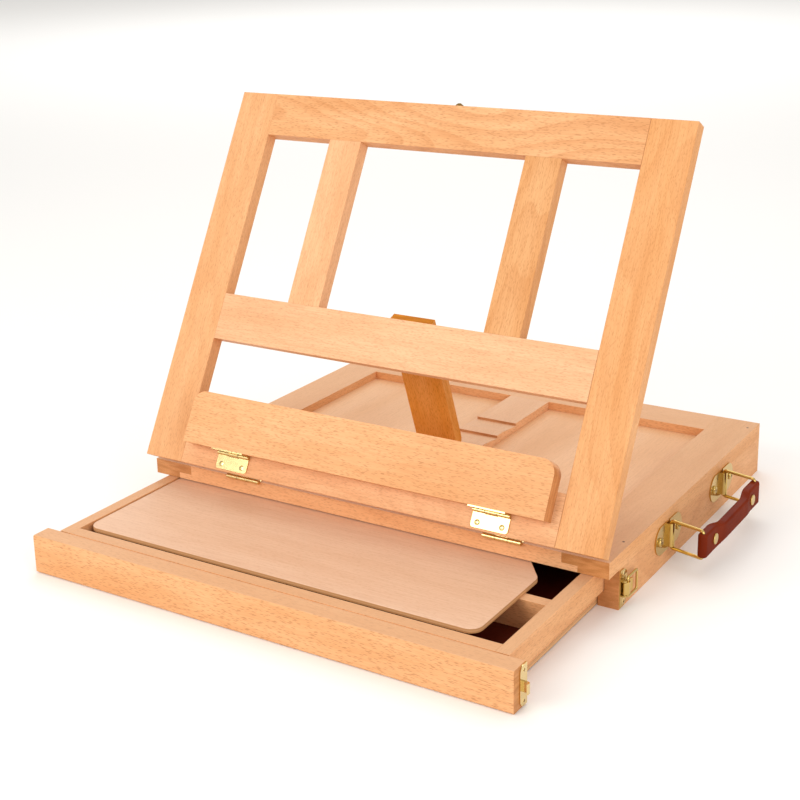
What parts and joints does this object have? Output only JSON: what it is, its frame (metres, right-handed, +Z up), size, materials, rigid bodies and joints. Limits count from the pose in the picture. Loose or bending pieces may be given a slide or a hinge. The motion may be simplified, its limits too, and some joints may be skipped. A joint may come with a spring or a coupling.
{
  "type": "box_easel",
  "caption": "Tabletop box easel in pale wood with a hinged drawing frame, canvas ledge, prop, drawer with palette, latch and carrying handle",
  "frame": {"origin": "the middle of the back wall's underside, on the table", "axes": "+X to the right seen from the drawer, +Y from the drawer to the back, +Z up"},
  "size_m": [0.3707, 0.384, 0.2761],
  "materials": {
    "beech": "pale beech under a thin satin varnish",
    "plywood": "thin smooth plywood, satin",
    "brass": "pressed brass plated steel",
    "aged_brass": "dark brass plate",
    "grip": "glossy red brown, like moulded leather",
    "nail_steel": "darkened nail heads"
  },
  "bodies": {
    "box": {"deck_left_rail": "beech", "deck_right_rail": "beech", "deck_front_rail": "beech", "deck_back_rail": "beech", "ratchet_rail": "beech", "deck_left_floor": "plywood", "deck_right_floor": "plywood", "left_wall": "beech", "right_wall": "beech", "back_wall": "beech", "deck_nails": "nail_steel", "lid_hinge_deck_leaves": "brass", "lid_hinge_pins": "brass", "box_screws": "brass", "latch_base": "brass", "latch_pin": "brass", "handle_front_bracket": "brass", "handle_rear_bracket": "brass", "handle_screws": "brass"},
    "drawer": {"drawer_front": "beech", "drawer_inner_front": "beech", "drawer_left_side": "beech", "drawer_right_side": "beech", "drawer_back": "beech", "drawer_bottom": "plywood", "drawer_front_divider": "beech", "drawer_rear_divider": "beech", "palette": "plywood", "strike_plate": "brass", "strike_screws": "brass"},
    "panel": {"panel_left_stile": "beech", "panel_right_stile": "beech", "panel_left_muntin": "beech", "panel_right_muntin": "beech", "panel_bottom_rail": "beech", "panel_middle_rail": "beech", "panel_top_rail": "beech", "lid_hinge_panel_leaves": "brass", "panel_screws": "brass", "ledge_hinge_panel_leaves": "brass", "ledge_hinge_pins": "brass", "prop_hinge_panel_leaf": "brass", "prop_hinge_pin": "brass", "lid_catch_stud": "aged_brass"},
    "canvas_ledge": {"ledge_bar": "beech", "ledge_hinge_bar_leaves": "brass", "ledge_bar_screws": "brass"},
    "prop": {"prop_leg": "beech", "prop_hinge_leg_leaf": "brass", "prop_screws": "brass"},
    "latch_arm": {"latch_lever": "brass"},
    "latch_wire": {"latch_loop": "brass"},
    "front_loop": {"handle_front_loop": "brass"},
    "rear_loop": {"handle_rear_loop": "brass"},
    "grip": {"handle_grip": "grip", "handle_rivets": "brass"}
  },
  "joints": [
    {"name": "drawer_slide", "type": "slide", "parent": "box", "child": "drawer", "axis": [0, 1, 0], "range_m": [-0.04, 0.119]},
    {"name": "panel_hinge", "type": "hinge", "parent": "box", "child": "panel", "pos_m": [0, -0.2616, 0.0369], "axis": [1, 0, 0], "range_deg": [-61, 14]},
    {"name": "ledge_hinge", "type": "hinge", "parent": "panel", "child": "canvas_ledge", "pos_m": [0, -0.26546, 0.05448], "axis": [1, 0, 0], "range_deg": [0, 90]},
    {"name": "prop_hinge", "type": "hinge", "parent": "panel", "child": "prop", "pos_m": [0.0018, -0.20294, 0.14262], "axis": [1, 0, 0], "range_deg": [-30.5, 132.5]},
    {"name": "latch_lever_hinge", "type": "hinge", "parent": "box", "child": "latch_arm", "pos_m": [0.1723, -0.242, 0.0132], "axis": [0, 0, 1], "range_deg": [-120, 0]},
    {"name": "latch_loop_hinge", "type": "hinge", "parent": "latch_arm", "child": "latch_wire", "pos_m": [0.173, -0.2394, 0.0132], "axis": [0, 0, -1], "range_deg": [0, 180]},
    {"name": "handle_front_hinge", "type": "hinge", "parent": "box", "child": "front_loop", "pos_m": [0.1723, -0.17, 0.0196], "axis": [0, 0, 1], "range_deg": [-56, 84]},
    {"name": "handle_rear_hinge", "type": "hinge", "parent": "box", "child": "rear_loop", "pos_m": [0.1723, -0.0745, 0.0196], "axis": [0, 0, 1], "range_deg": [-56, 84]},
    {"name": "grip_hinge", "type": "hinge", "parent": "front_loop", "child": "grip", "pos_m": [0.19549, -0.17578, 0.0196], "axis": [0, 0, 1], "range_deg": [-84, 56]}
  ],
  "couplings": [
    {"joint": "prop_hinge", "follows": "panel_hinge", "ratio": -2.1705},
    {"joint": "handle_rear_hinge", "follows": "handle_front_hinge", "ratio": 1},
    {"joint": "grip_hinge", "follows": "handle_front_hinge", "ratio": -1}
  ]
}
